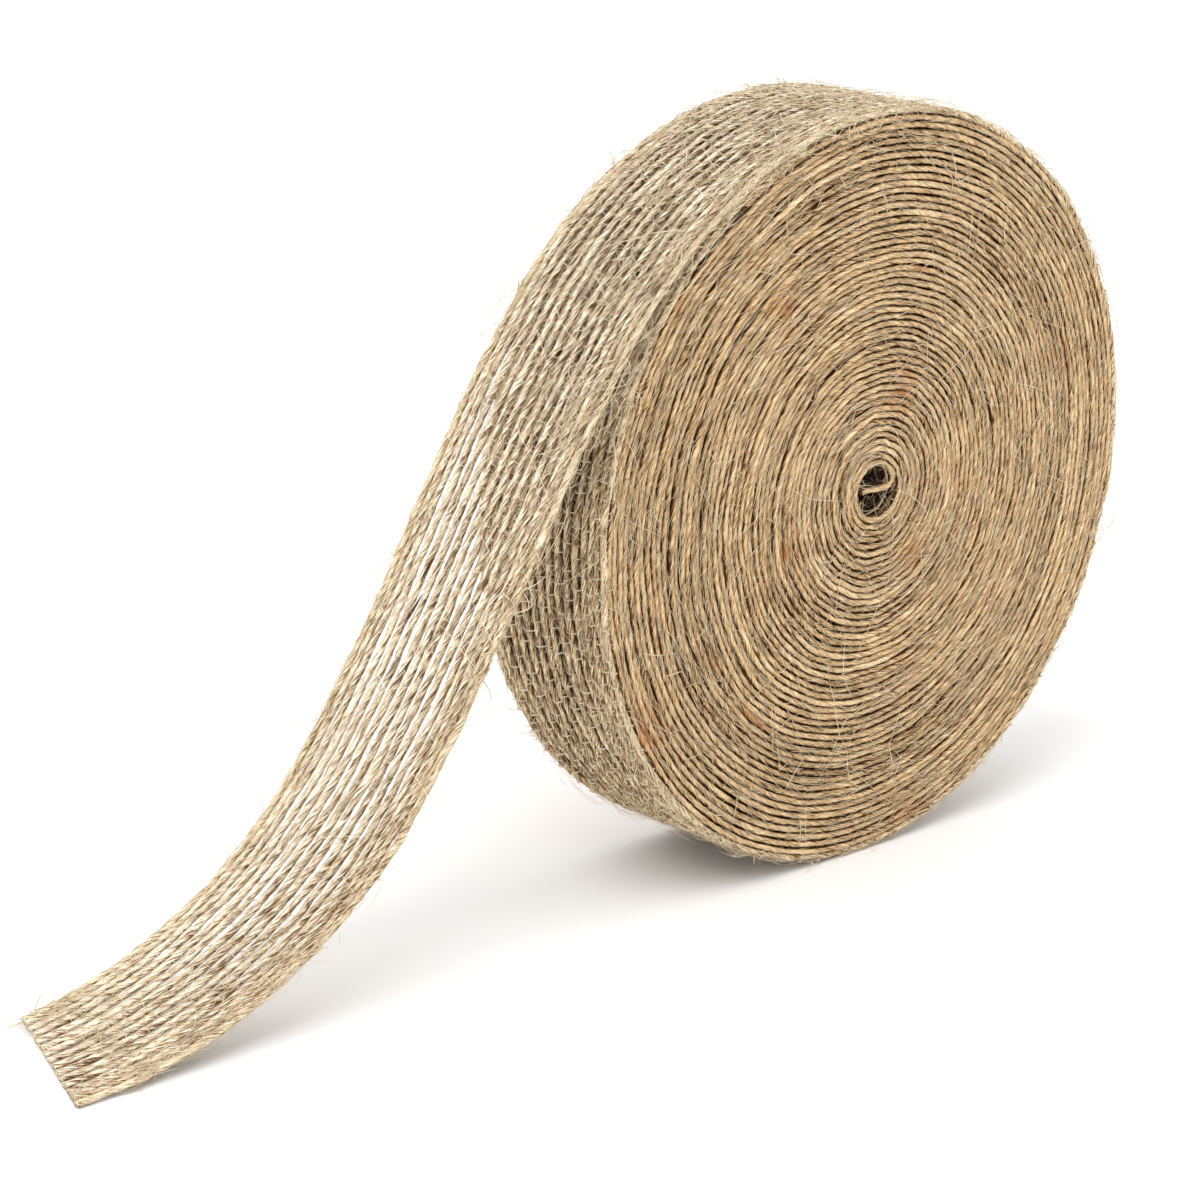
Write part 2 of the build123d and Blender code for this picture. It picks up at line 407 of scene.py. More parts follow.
def yarn(pile, line, along, lane, seed, sides, lift=0.0, broad=1.0, pale=0.0, slot=0, flecks=(), packed=0.0):
    """Adds one twisted yarn of the ribbon along a line.

    lift holds it off the line, broad swells it sideways and pale lightens it, each a number or a value for
    each step. packed is 0 for a free yarn, or the side of the roll, FRONT or BACK, that a wound one shows on.
    """
    rng = np.random.default_rng(seed)

    def change(*changes):
        return sum(wander(along, line.length, step, size, rng) for step, size in changes)

    phase = rng.uniform(0, 2 * pi)
    middle, heading = line.at(along)
    slub = np.clip(change(SLUB_CHANGE) - SLUB_START, 0, 1)
    swell = np.clip(1.0 + change(*SWELL_CHANGES) + SLUB_SWELL * slub, *SWELL_LIMITS)
    off = lift + change(*OFF_CHANGES)
    side = change(*SIDE_CHANGES)
    twist = 2 * pi * along / TWIST_PITCH + change(TWIST_CHANGE) + phase
    tone = change(*TONE_CHANGES) + rng.normal(0, YARN_TONE) + pale + SLUB_TONE * slub
    rust = np.clip(change(FLECK_CHANGE) - FLECK_START, 0, FLECK_DEPTH)
    if line is wound:
        off = off * WOUND_OFF_SHARE + settle(middle)
    if packed:
        off = off + change(PACKED_OFF_CHANGE)
        side = side * PACKED_SIDE_SHARE + change(PACKED_SIDE_CHANGE)
        tone = tone + change(*PACKED_TONE_CHANGES)
        gap = np.clip(GAP_SHADE + change(GAP_CHANGE), *GAP_LIMITS)
        uneven = np.clip(STAIN_SHARE + change(STAIN_CHANGE), *STAIN_LIMITS)
        rust = np.maximum(rust, stained(middle) * uneven)
    for where, level, length, depth in flecks:
        if abs(LANES[lane] - level) < FLECK_REACH:
            rust = np.maximum(rust, depth * np.exp(-(((along - where) / length * FLECK_EDGE) ** 2)))

    around = np.linspace(0, 2 * pi, sides, endpoint=False)
    turned = around[None, :] - twist[:, None]
    lobes = np.cos(STRANDS * turned)
    girth = (GIRTH + STRAND_SWELL * lobes) * swell[:, None]
    up = np.cos(around)
    out = np.sin(around)
    if packed:
        up = np.sign(up) * np.abs(up) ** SQUARE_POWER
    outwards = np.reshape(off, (-1, 1)) + YARN_HALF_THICKNESS * girth * up
    across = LANES[lane] + side[:, None] + YARN_HALF_WIDTH * girth * out * np.reshape(broad, (-1, 1))
    x = middle[:, 0, None] + outwards * np.sin(heading)[:, None]
    z = middle[:, 1, None] - outwards * np.cos(heading)[:, None]
    rings = np.stack([x, across, z], axis=-1)[None]
    places = np.broadcast_to(streak_place(along, seed)[:, None], turned.shape)
    strand = np.stack([np.cos(turned), np.sin(turned), places], axis=-1)
    # Painted shade: a packed yarn darkens where the next turn hides it, a free one at its flanks and underneath
    if packed:
        shade = gap[:, None] * np.clip(HIDDEN_SHADE - OPEN_SIDE * np.clip(packed * out, 0, 1), 0, 1)
    else:
        # The edge yarns have a neighbour on one side only.
        flank = out
        if lane == 0:
            flank = np.maximum(out, 0)
        if lane == YARNS - 1:
            flank = np.minimum(out, 0)
        shade = FLANK_SHADE * flank**4 + UNDER_SHADE * np.clip(-up, 0, 1)
    pile.tube(
        rings,
        strand[None],
        slot,
        ridge=(lobes * 0.5 + 0.5)[None],
        tone=np.clip(tone, -1, 1.3)[None, :, None],
        rust=rust[None, :, None],
        shade=shade,
    )


def steps_along(start, end, spacing):
    """Evenly spaced distances from start to end, about this far apart."""
    return np.linspace(start, end, max(int(round((end - start) / spacing)), 1) + 1)


# -----------------------------------------------------------------------------
# Weft
# -----------------------------------------------------------------------------


def round_tubes(pile, paths, radius, sides, tone, seed, rust=0.0):
    """Adds plain round tubes along paths, an array of (tubes, points, 3)."""
    ahead = np.gradient(paths, axis=1)
    ahead /= np.linalg.norm(ahead, axis=-1, keepdims=True) + 1e-12
    whole = paths[:, -1] - paths[:, 0]
    least = np.argmin(np.abs(whole) + 1e-9 * np.arange(3), axis=1)
    fixed = np.eye(3)[least][:, None, :]
    side = np.cross(ahead, fixed)
    side /= np.linalg.norm(side, axis=-1, keepdims=True) + 1e-12
    top = np.cross(side, ahead)
    angle = np.linspace(0, 2 * pi, sides, endpoint=False)
    radius = np.broadcast_to(radius, paths.shape[:2])[:, :, None, None]
    rings = paths[:, :, None, :] + radius * (
        np.cos(angle)[:, None] * side[:, :, None, :] + np.sin(angle)[:, None] * top[:, :, None, :]
    )
    along = np.cumsum(np.linalg.norm(np.diff(paths, axis=1, prepend=paths[:, :1]), axis=-1), axis=1)
    along = streak_place(along, seed) + 11.0 * np.arange(len(paths))[:, None]
    shape = rings.shape[:3]
    strand = np.stack(
        [
            np.broadcast_to(np.cos(angle), shape),
            np.broadcast_to(np.sin(angle), shape),
            np.broadcast_to(along[:, :, None], shape),
        ],
        axis=-1,
    )
    tone = np.reshape(tone, (-1, 1, 1)) if np.ndim(tone) else tone
    pile.tube(rings, strand, ridge=0.8, tone=tone, rust=rust)


# A bar of the weft goes past the middle of the edge yarns by this share of a lane, and by this height.
BAR_END_LANES = 0.45
BAR_END_HEIGHT = 0.0007
# It bends sharply from one side of the yarns to the other: 1 is a plain wave.
BAR_BEND_POWER = 0.7
# How the bars differ: in height off the yarns as a share, then in bow, slant and waver along the ribbon, then in
# radius as a share, and in tone as (mean, spread)
BAR_HEIGHT_CHANGE = 0.07
BAR_BOW = 0.0006
BAR_SLANT = 0.0003
BAR_WAVER = 0.0001
BAR_RADIUS_CHANGE = 0.15
BAR_TONE = (1.0, 0.3)


def weave(pile, line, start, end, seed, samples=4, thick=1.0):
    """Adds the weft bars between two distances along a line, over and under the yarns by turns."""
    rng = np.random.default_rng(seed)
    numbers = np.arange(int(np.ceil(start / WEFT_PITCH - 0.5)), int(np.ceil(end / WEFT_PITCH - 0.5)))
    places = (numbers + 0.5) * WEFT_PITCH
    each = (len(places), 1)
    lanes = np.linspace(-BAR_END_LANES, YARNS - 1 + BAR_END_LANES, (YARNS - 1) * samples + 1)
    ends = (LANES[0] - BAR_END_HEIGHT, LANES[-1] + BAR_END_HEIGHT)
    heights = np.interp(lanes, np.arange(YARNS), LANES, left=ends[0], right=ends[1])
    heights = np.broadcast_to(heights, (len(places), len(lanes)))
    parity = (-1.0) ** numbers
    level = parity[:, None] * np.cos(pi * lanes)[None]
    level = np.sign(level) * np.abs(level) ** BAR_BEND_POWER
    level = level * (1 + rng.normal(0, BAR_HEIGHT_CHANGE, level.shape))
    bow = rng.normal(0, BAR_BOW, each) * np.sin(pi * (lanes + 0.5) / YARNS)
    slant = rng.normal(0, BAR_SLANT, each) * np.linspace(-1, 1, len(lanes))
    waver = rng.normal(0, BAR_WAVER, level.shape)
    middle, heading = line.at(places[:, None] + bow + slant + waver)
    # A thin thread sinks in between the yarns' strands.
    off = level * YARN_HALF_THICKNESS * min(0.3 + 0.7 * thick, 1.05)
    if line is wound:
        off = off + settle(middle)
    x = middle[..., 0] + off * np.sin(heading)
    z = middle[..., 1] - off * np.cos(heading)
    radius = thick * WEFT_RADIUS * (1 + rng.normal(0, BAR_RADIUS_CHANGE, each))
    tone = rng.normal(*BAR_TONE, len(places))
    round_tubes(pile, np.stack([x, heights, z], axis=-1), radius, 4, tone, seed)


# A return of the weft, point by point, as shares: of half a pitch along the edge, of the edge yarn's half width
# outside its middle, and of the yarn's half thickness, from one face of the ribbon to the other
RETURN_ALONG = np.array([-1.1, -1.0, -0.6, 0.0, 0.6, 1.0, 1.1])
RETURN_OUTSIDE = np.array([-0.3, 0.70, 1.0, 1.05, 1.0, 0.70, -0.3])
RETURN_OVER = np.array([1.0, 0.75, 0.25, 0.0, -0.25, -0.75, -1.0])
# How the returns differ: in place as a share of two pitches, in length as a share, in metres off the ribbon's
# line, in how far they stand out as a share of the yarn's half width, and in tone as (mean, spread)
RETURN_PLACE_CHANGE = 0.2
RETURN_LENGTH_CHANGE = 0.12
RETURN_OFF_CHANGE = 0.00012
RETURN_OUT_CHANGE = 0.05
RETURN_TONE = (-0.6, 0.8)
RETURN_RADIUS = WEFT_RADIUS * 0.7


def selvedge_returns(pile, start, end, height, face, seed):
    """Adds the short lengths of weft that run along the wound edge from one crossing to the next."""
    rng = np.random.default_rng(seed)
    count = int((end - start) / (2 * WEFT_PITCH))
    moved = rng.uniform(-RETURN_PLACE_CHANGE, RETURN_PLACE_CHANGE, count)
    places = start + 2 * WEFT_PITCH * (np.arange(count) + 0.5 + moved)
    half = WEFT_PITCH * 0.5 * (1 + rng.normal(0, RETURN_LENGTH_CHANGE, count))
    flip = rng.choice([-1.0, 1.0], count)
    middle, heading = wound.at(places[:, None] + half[:, None] * RETURN_ALONG)
    off = flip[:, None] * RETURN_OVER * YARN_HALF_THICKNESS * 0.9
    off = off + rng.normal(0, RETURN_OFF_CHANGE, (count, 1))
    off = off + settle(middle)
    level = height + face * YARN_HALF_WIDTH * (RETURN_OUTSIDE + rng.normal(0, RETURN_OUT_CHANGE, (count, 1)))
    x = middle[..., 0] + off * np.sin(heading)
    z = middle[..., 1] - off * np.cos(heading)
    paths = np.stack([x, level, z], axis=-1)
    round_tubes(pile, paths, RETURN_RADIUS, 3, rng.normal(*RETURN_TONE, count), seed)


# -----------------------------------------------------------------------------
# Loose fibres
# -----------------------------------------------------------------------------


# How far fibres stand out from the ribbon's edges, from its faces, and from the roll's rim, at most
EDGE_REACH = 0.0022
FACE_REACH = 0.0016
RIM_REACH = 0.001

# A fibre's width at each of its points, from its root to its tip
FIBRE_TAPER = np.array([0.8, 1.0, 1.0, 0.9, 0.7, 0.35])
# How fibres differ: the spread of their lengths and the shortest, both as shares of the usual length, how strongly
# they bend back towards the ribbon, their least and greatest width, and their tone as (mean, spread), the mean
# raised as a painted highlight where the fibres catch the light
LENGTH_SPREAD = 0.55
SHORTEST = 0.3
DROOP = 2.2
WIDTHS = (0.6, 1.4)
FIBRE_TONE_AND_HIGHLIGHT = (1.6, 1.0)

# Three kinds of fibre: (usual length, longest, lift, curl, askew, radius)
CLOSE_FIBRES = (0.0040, 0.010, 0.08, 0.5, 0.3, FIBRE_RADIUS)
SIDE_FIBRES = (0.0045, 0.012, 0.05, 0.25, 0.13, FIBRE_RADIUS)
STRAY_FIBRES = (0.0095, 0.024, 0.06, 1.2, 1.4, FIBRE_RADIUS * 1.55)


def drawn_back(value, limit, reach):
    """Values that go beyond a limit on either side are drawn back, to at most reach outside it."""
    size = np.abs(value)
    beyond = np.maximum(size - limit, 0)
    return np.sign(value) * (np.minimum(size, limit) + reach * np.tanh(beyond / reach))


def loose_fibres(pile, line, roots, outwards, kind, seed):
    """Adds curved fibres that hug the ribbon on a line.

    roots and the unit directions outwards are in the ribbon's own space: the distance along it, the height
    along the roll's axis and the distance off it.
    """
    usual, longest, lift, curl, askew, radius = kind
    rng = np.random.default_rng(seed)
    count = len(roots)
    points = len(FIBRE_TAPER)
    lengths = np.clip(usual * rng.lognormal(0.0, LENGTH_SPREAD, (count, 1)), usual * SHORTEST, longest)
    ahead = np.array([[1.0, 0.0, 0.0]])
    across = np.cross(np.broadcast_to(ahead, (count, 3)), outwards)
    way = rng.choice([-1.0, 1.0], (count, 1)) * ahead + rng.normal(0, askew, (count, 1)) * across
    way += np.abs(rng.normal(0, lift, (count, 1))) * outwards
    down = -np.abs(rng.normal(0, 1.0, (count, 1))) * outwards * lift * DROOP
    bend = curl * rng.normal(0, 1.1, (count, 1)) * across + down
    wave = curl * 0.5 * (rng.normal(0, 1, (count, 1)) * across + rng.normal(0, 0.7, (count, 1)) * ahead)
    steps = np.linspace(0, 1, points)
    places = np.zeros((count, points, 3))
    places[:, 0] = roots
    for number in range(1, points):
        part = steps[number]
        heading = way + bend * part + wave * np.sin(pi * 2 * part)
        heading /= np.linalg.norm(heading, axis=1, keepdims=True)
        places[:, number] = places[:, number - 1] + heading * lengths / (points - 1)
    places[..., 1] = drawn_back(places[..., 1], RIBBON_WIDTH / 2, EDGE_REACH)
    if line is not wound:
        places[..., 2] = drawn_back(places[..., 2], YARN_HALF_THICKNESS, FACE_REACH)
    middle, heading = line.at(places[..., 0])
    x = middle[..., 0] + places[..., 2] * np.sin(heading)
    z = middle[..., 1] - places[..., 2] * np.cos(heading)
    if line is wound:
        from_axis = np.hypot(x - AXIS_X, z - ROLL_RADIUS)
        pull = drawn_back(from_axis, ROLL_RADIUS, RIM_REACH) / from_axis
        x = AXIS_X + (x - AXIS_X) * pull
        z = ROLL_RADIUS + (z - ROLL_RADIUS) * pull
    # None goes below the floor.
    paths = np.stack([x, places[..., 1], np.maximum(z, 2 * FIBRE_RADIUS)], axis=-1)
    width = radius * rng.uniform(*WIDTHS, (count, 1)) * FIBRE_TAPER
    # Painted highlight: the fibres' tone is raised above the yarns' so that they look lit
    round_tubes(pile, paths, width, 3, rng.normal(*FIBRE_TONE_AND_HIGHLIGHT, count), seed)


# The shares of the free ribbon's fibres that are put on its front edge yarn, on the next one and on its back
# edge yarn. The rest fall on any yarn.
FRONT_EDGE_SHARE = 0.08
NEXT_SHARE = 0.05
BACK_EDGE_SHARE = 0.06


def ribbon_fuzz(pile, start, end, count, kind, seed):
    """Loose fibres on both faces and both edges of a stretch of the free ribbon."""
    rng = np.random.default_rng(seed)
    along = rng.uniform(start, end, count)
    lane = rng.integers(0, YARNS, count)
    edge = rng.uniform(0, 1, count)
    lane = np.where(edge > 1 - BACK_EDGE_SHARE, YARNS - 1, lane)
    lane = np.where(edge < FRONT_EDGE_SHARE + NEXT_SHARE, 1, lane)
    lane = np.where(edge < FRONT_EDGE_SHARE, 0, lane)
    face = rng.choice([1.0, 1.0, -1.0], count)
    tilt = rng.normal(0, 0.5, count) + np.where(lane == 0, -0.8, 0) + np.where(lane == YARNS - 1, 0.8, 0)
    outwards = np.stack([np.zeros(count), np.sin(tilt), face * np.cos(tilt)], axis=1)
    base = np.stack([along, LANES[lane], np.zeros(count)], axis=1)
    loose_fibres(pile, ribbon, base + outwards * YARN_HALF_THICKNESS, outwards, kind, seed + 1)


def side_fuzz(pile, count, kind, face, seed):
    """Loose fibres on a side face of the roll, which run mostly along its turns."""
    rng = np.random.default_rng(seed)
    along = wound.length * rng.uniform(0.0005, 1, count)
    outwards = np.tile([0.0, face, 0.0], (count, 1))
    base = np.stack([along, np.full(count, face * RIBBON_WIDTH / 2), rng.normal(0, 0.0002, count)], axis=1)
    loose_fibres(pile, wound, base, outwards, kind, seed + 1)


# -----------------------------------------------------------------------------
# Materials
# -----------------------------------------------------------------------------


# Brown bark, and the reddish root end of a fibre
BARK = (0.075, 0.032, 0.018)
RUST = (0.45, 0.19, 0.065)

# Streaks in a yarn's colour: (how many there are round it and in a millimetre along it, weight)
STREAKS = [
    ((2.5, 2.5, 0.24), 1.4),
    ((5.0, 5.0, 0.45), 2.1),
    ((0.9, 0.9, 0.14), 0.3),
    ((0.25, 0.25, 0.07), 0.25),
]
MEAN_LEVEL = 0.54
# Painted shade in the grooves between the strands, which also deepens the bump, and how much a yarn's own tone
# counts
GROOVE_WEIGHT = -0.20
GROOVE_POWER = 3.0
TONE_WEIGHT = 0.15
# The levels of the dark, the middle and the pale colour
COLOUR_LEVELS = (0.12, 0.50, 0.88)
BUMP_STRENGTH = 0.6
BUMP_HEIGHT = 0.00011


def jute(name, dark, middle, pale, depth, contrast=1.0, roughness=0.85, fleck=BARK):
    """Twisted plant fibre: streaks that follow the strands, with painted shade where the yarn lies against its
    neighbours.

    dark, middle and pale are its colours, depth is how much darker its shaded parts are, contrast is how
    strong its streaks are, and fleck is the colour of its flecks.
    """
    material = bpy.data.materials.new(name)
    material.use_nodes = True
    nodes = material.node_tree.nodes
    links = material.node_tree.links
    shader = nodes["Principled BSDF"]
    shader.inputs["Roughness"].default_value = roughness
    shader.inputs["Specular IOR Level"].default_value = 0.15

    def value_of(key, output="Fac"):
        node = nodes.new("ShaderNodeAttribute")
        node.attribute_name = key
        return node.outputs[output]

    def sum_of(first, second, factor):
        """first plus factor times second."""
        node = nodes.new("ShaderNodeMath")
        node.operation = "MULTIPLY_ADD"
        links.new(second, node.inputs[0])
        node.inputs[1].default_value = factor
        if isinstance(first, float):
            node.inputs[2].default_value = first
        else:
            links.new(first, node.inputs[2])
        return node.outputs[0]

    def streaks(stretch):
        """Noise drawn out along the strands."""
        scale = nodes.new("ShaderNodeVectorMath")
        scale.operation = "MULTIPLY"
        scale.inputs[1].default_value = stretch
        links.new(value_of("strand", "Vector"), scale.inputs[0])
        noise = nodes.new("ShaderNodeTexNoise")
        noise.inputs["Scale"].default_value = 1.0
        noise.inputs["Detail"].default_value = 1.0
        links.new(scale.outputs["Vector"], noise.inputs["Vector"])
        return noise.outputs["Fac"]

    # The streaks' noise is 0.5 on average, so that they leave the mean level as it is.
    level = MEAN_LEVEL - 0.5 * contrast * sum(weight for stretch, weight in STREAKS)
    for stretch, weight in STREAKS:
        level = sum_of(level, streaks(stretch), contrast * weight)
    # Painted shade: the grooves between the strands are darkened; the same level drives the bump
    groove = nodes.new("ShaderNodeMath")
    groove.operation = "POWER"
    links.new(sum_of(1.0, value_of("ridge"), -1.0), groove.inputs[0])
    groove.inputs[1].default_value = GROOVE_POWER
    level = sum_of(level, groove.outputs[0], GROOVE_WEIGHT)
    level = sum_of(level, value_of("tone"), TONE_WEIGHT)
    # Painted shade: the colour is darker by depth where the shade value is high
    colour_level = sum_of(level, value_of("shade"), -depth)
    ramp = nodes.new("ShaderNodeValToRGB")
    ramp.color_ramp.elements[0].position = COLOUR_LEVELS[0]
    ramp.color_ramp.elements[0].color = (*dark, 1)
    ramp.color_ramp.elements[1].position = COLOUR_LEVELS[2]
    ramp.color_ramp.elements[1].color = (*pale, 1)
    centre = ramp.color_ramp.elements.new(COLOUR_LEVELS[1])
    centre.color = (*middle, 1)
    links.new(colour_level, ramp.inputs["Fac"])
    mix = nodes.new("ShaderNodeMix")
    mix.data_type = "RGBA"
    links.new(value_of("rust"), mix.inputs["Factor"])
    links.new(ramp.outputs["Color"], mix.inputs["A"])
    mix.inputs["B"].default_value = (*fleck, 1)
    links.new(mix.outputs["Result"], shader.inputs["Base Color"])

    bump = nodes.new("ShaderNodeBump")
    bump.inputs["Strength"].default_value = BUMP_STRENGTH
    bump.inputs["Distance"].default_value = BUMP_HEIGHT
    links.new(level, bump.inputs["Height"])
    links.new(bump.outputs["Normal"], shader.inputs["Normal"])
    return material


# The tail; the outermost turn, in painted shade under the tail; the roll's side faces; the tail's edges; and the
# yarns inside the roll, in painted shade
warp_jute = jute(
    "jute_warp",
    dark=(0.13, 0.072, 0.034),
    middle=(0.68, 0.52, 0.335),
    pale=(0.98, 0.91, 0.75),
    depth=0.42,
    contrast=1.15,
)
# Painted shade: a darker, more saturated copy of the tail's jute for the outermost turn, which lies in the tail's
# shadow
shaded_turn_jute = jute(
    "jute_turn_shaded",
    dark=(0.115, 0.055, 0.022),
    middle=(0.63, 0.445, 0.24),
    pale=(0.95, 0.81, 0.57),
    depth=0.42,
    contrast=1.3,
    fleck=RUST,
)
edge_jute = jute(
    "jute_edge",
    dark=(0.075, 0.030, 0.010),
    middle=(0.66, 0.44, 0.225),
    pale=(0.96, 0.79, 0.52),
    depth=0.56,
    contrast=0.6,
    fleck=RUST,
)
tail_edge_jute = jute(
    "jute_tail_edge",
    dark=(0.13, 0.068, 0.030),
    middle=(0.63, 0.465, 0.28),
    pale=(0.93, 0.82, 0.62),
    depth=0.36,
    contrast=1.1,
)
# Painted shade: a dark copy of the jute for the yarns inside the roll, which get little light
inner_jute = jute(
    "jute_inner",
    dark=(0.04, 0.022, 0.012),
    middle=(0.30, 0.21, 0.13),
    pale=(0.62, 0.50, 0.36),
    depth=0.30,
)
weft_yarn = jute(
    "weft",
    dark=(0.46, 0.36, 0.23),
    middle=(0.74, 0.62, 0.44),
    pale=(0.94, 0.86, 0.70),
    depth=0.0,
    roughness=0.7,
)
fibre_jute = jute(
    "loose_fibre",
    dark=(0.34, 0.20, 0.09),
    middle=(0.76, 0.58, 0.35),
    pale=(0.98, 0.86, 0.62),
    depth=0.0,
    contrast=0.7,
    roughness=0.6,
)


# -----------------------------------------------------------------------------
# The wound roll
# -----------------------------------------------------------------------------


# How pale the outermost yarn on a side face is, and the next one, which lies further in and is darker as painted
# shade, and how far both lie outside their line
SIDE_PALE = (0.0, -0.5)
SIDE_LIFT = 0.00008
# How pale the yarns are that line the eye: below 0, so darker as painted shade inside the roll's hollow
EYE_PALE = -1.2


def wound_side(name, face, yarns, seed):
    """The two outermost yarns on one side of the roll, each a spiral from the eye to the last turn.

    yarns has their (lane, spacing of the steps along it, points round it), the outermost first.
    """
    pile = Pile()
    for (lane, spacing, sides), pale in zip(yarns, SIDE_PALE):
        along = steps_along(0.0, wound.length, spacing)
        yarn(pile, wound, along, lane, seed + lane, sides, lift=SIDE_LIFT, pale=pale, packed=face)
    return pile.build(name, edge_jute)


side_front = wound_side("roll_side_front", FRONT, [(0, 0.00078, 8), (1, 0.0021, 5)], 100)
side_back = wound_side("roll_side_back", BACK, [(YARNS - 1, 0.00115, 6), (YARNS - 2, 0.002, 5)], 140)

returns_pile = Pile()
returns_start = 0.002
returns_end = wound.length - 0.01
selvedge_returns(returns_pile, returns_start, returns_end, LANES[0], FRONT, 31)
selvedge_returns(returns_pile, returns_start + WEFT_PITCH, returns_end, LANES[-1], BACK, 32)
side_returns = returns_pile.build("roll_edge_weft", edge_jute)

# The last wound turn shows through the gaps of the outermost one, and the first turn lines the eye. Both are in
# painted shade, with the dark inner jute.
last_turn_start = wound.length - 2 * pi * WOUND_RADIUS
EYE_TURNS = 1.3
eye_end = fold.length + 2 * pi * FIRST_RADIUS * EYE_TURNS
last_turn_pile = Pile()
last_turn_steps = steps_along(last_turn_start, wound.length, 0.0011)
eye_steps = steps_along(0.0, eye_end, 0.0010)
for lane in range(2, YARNS - 2):
    yarn(last_turn_pile, wound, last_turn_steps, lane, 200 + lane, 6)
    yarn(last_turn_pile, wound, eye_steps, lane, 230 + lane, 6, pale=EYE_PALE)
last_turn = last_turn_pile.build("roll_last_turn", inner_jute)

last_weft_pile = Pile()
weave(last_weft_pile, wound, last_turn_start, wound.length - 0.001, 41, samples=2)
weave(last_weft_pile, wound, 0.001, eye_end, 42, samples=2)
last_weft = last_weft_pile.build("roll_last_weft", weft_yarn)


# The ring of packed turns starts this far inside, in layers, and has grooves and ridges this high at its rim.
RING_FROM = 1.35
RING_GROOVE = 0.0007
RING_RIDGE = 0.0001


def inner_turns():
    """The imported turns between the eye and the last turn, as one ring with a ridge for each yarn at its rim."""
    pile = Pile()
    outside = WOUND_RADIUS - LAYER - YARN_HALF_THICKNESS
    inside = FIRST_RADIUS + RING_FROM * LAYER
    half_width = LANES[-3] + YARN_HALF_WIDTH * 0.6
    angle = np.linspace(0, 2 * pi, 361)
    profile = [(inside, -half_width), (outside, -half_width)]
    for lane in range(3, YARNS - 3):
        profile.append((outside - RING_GROOVE, (LANES[lane - 1] + LANES[lane]) / 2))
        profile.append((outside + RING_RIDGE, LANES[lane]))
    profile += [(outside, half_width), (inside, half_width)]
    radius = np.array([across for across, height in profile])
    heights = np.array([height for across, height in profile])
    rings = np.stack(
        [
            AXIS_X + radius[None, :] * np.cos(angle)[:, None],
            np.broadcast_to(heights, (len(angle), len(profile))),
            ROLL_RADIUS + radius[None, :] * np.sin(angle)[:, None],
        ],
        axis=-1,
    )
    strand = np.stack([rings[..., 0] * 300, rings[..., 1] * 900, rings[..., 2] * 300], axis=-1)
    # Painted shade: the ring is dark all over, as it lies deep inside the roll
    pile.tube(rings[None], strand[None], ridge=0.1, tone=-1.0, shade=1.0)
    return pile.build("roll_inner_turns", inner_jute)


inner_ring = inner_turns()

front_fuzz_pile = Pile()
side_fuzz(front_fuzz_pile, 6000, SIDE_FIBRES, FRONT, 51)
side_fuzz(front_fuzz_pile, 420, STRAY_FIBRES, FRONT, 55)
front_fuzz = front_fuzz_pile.build("roll_fibres_front", fibre_jute)
back_fuzz_pile = Pile()
side_fuzz(back_fuzz_pile, 4200, SIDE_FIBRES, BACK, 53)
side_fuzz(back_fuzz_pile, 400, STRAY_FIBRES, BACK, 57)
back_fuzz = back_fuzz_pile.build("roll_fibres_back", fibre_jute)


EYE_FIBRES = 12


def eye_fibres():
    """Pale fibres strung across the eye, near its front face."""
    rng = np.random.default_rng(61)
    pile = Pile()
    count = EYE_FIBRES
    start = rng.uniform(0, 2 * pi, (count, 1))
    end = start + rng.choice([-1.0, 1.0], (count, 1)) * rng.uniform(0.5, 2.4, (count, 1))
    share = np.linspace(0, 1, 7)
    bow = np.sin(pi * share)
    reach = (FIRST_RADIUS - YARN_HALF_THICKNESS) * (1 - rng.uniform(0.1, 0.6, (count, 1)) * bow)
    angle = start + (end - start) * share + rng.normal(0, 0.25, (count, 1)) * np.sin(2 * pi * share)
    depth = rng.uniform(0.0003, 0.005, (count, 1)) - rng.uniform(0, 0.001, (count, 1)) * bow
    x = AXIS_X + reach * np.cos(angle)
    z = ROLL_RADIUS + reach * np.sin(angle)
    paths = np.stack([x, depth - RIBBON_WIDTH / 2, z], axis=-1)
    radius = FIBRE_RADIUS * rng.uniform(0.9, 2.0, (count, 1))
    round_tubes(pile, paths, radius, 4, rng.normal(0.5, 0.6, count), 62)
    return pile.build("eye_fibres", fibre_jute)


eye = eye_fibres()

roll_pieces = [side_front, side_back, side_returns, last_turn, last_weft, inner_ring]
for piece in roll_pieces + [front_fuzz, back_fuzz, eye]:
    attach(piece, "roll")
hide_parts("roll_selvedge_front", "roll_warp_01")
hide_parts("roll_selvedge_back", "roll_warp_14")
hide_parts("roll_warp_02", "roll_warp_13")
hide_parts(*[f"roll_warp_{lane:02d}" for lane in range(3, 13)])


# -----------------------------------------------------------------------------
# The outermost turn and the tail
# -----------------------------------------------------------------------------


def cut_at(height):
    """How far along the ribbon its end is cut, at this height along the roll's axis."""
    return ribbon.length - END_CUT_SKEW * (height + RIBBON_WIDTH / 2) / RIBBON_WIDTH


def lift_at(along):
    """The tuck of the outermost turn's first few degrees in under the tail."""
    return -TUCK_DEPTH * (1 - ease(np.clip(along / tuck_length, 0, 1)))


# The edge yarns of the outermost turn lie lower than the rest by this much, up to this far from the tail.
EDGE_TUCK = 0.00026
EDGE_TUCK_FADE = 0.02

# The last PALE_END of the tail is paler and its yarns are broader, the edge yarns by less. It comes on over
# PALE_END_FADE.
PALE_END = 0.060
PALE_END_FADE = 0.035
PALE_END_TONE = 0.35
FLAT_END_SWELL = 0.3
FLAT_END_EDGE_SWELL = 0.15

# The back half of the tail is paler too, as painted light that stands in for light shining through it from behind,
# from this height along the roll's axis. It comes on over this height and over this length past the roll.
BACKLIT_TONE = 0.65
BACKLIT_FROM = -0.004
BACKLIT_ACROSS_FADE = 0.012
BACKLIT_ALONG_FADE = 0.1

# The weft's thickness on the outermost turn and on the tail
TURN_WEFT = 1.3
TAIL_WEFT = 0.8


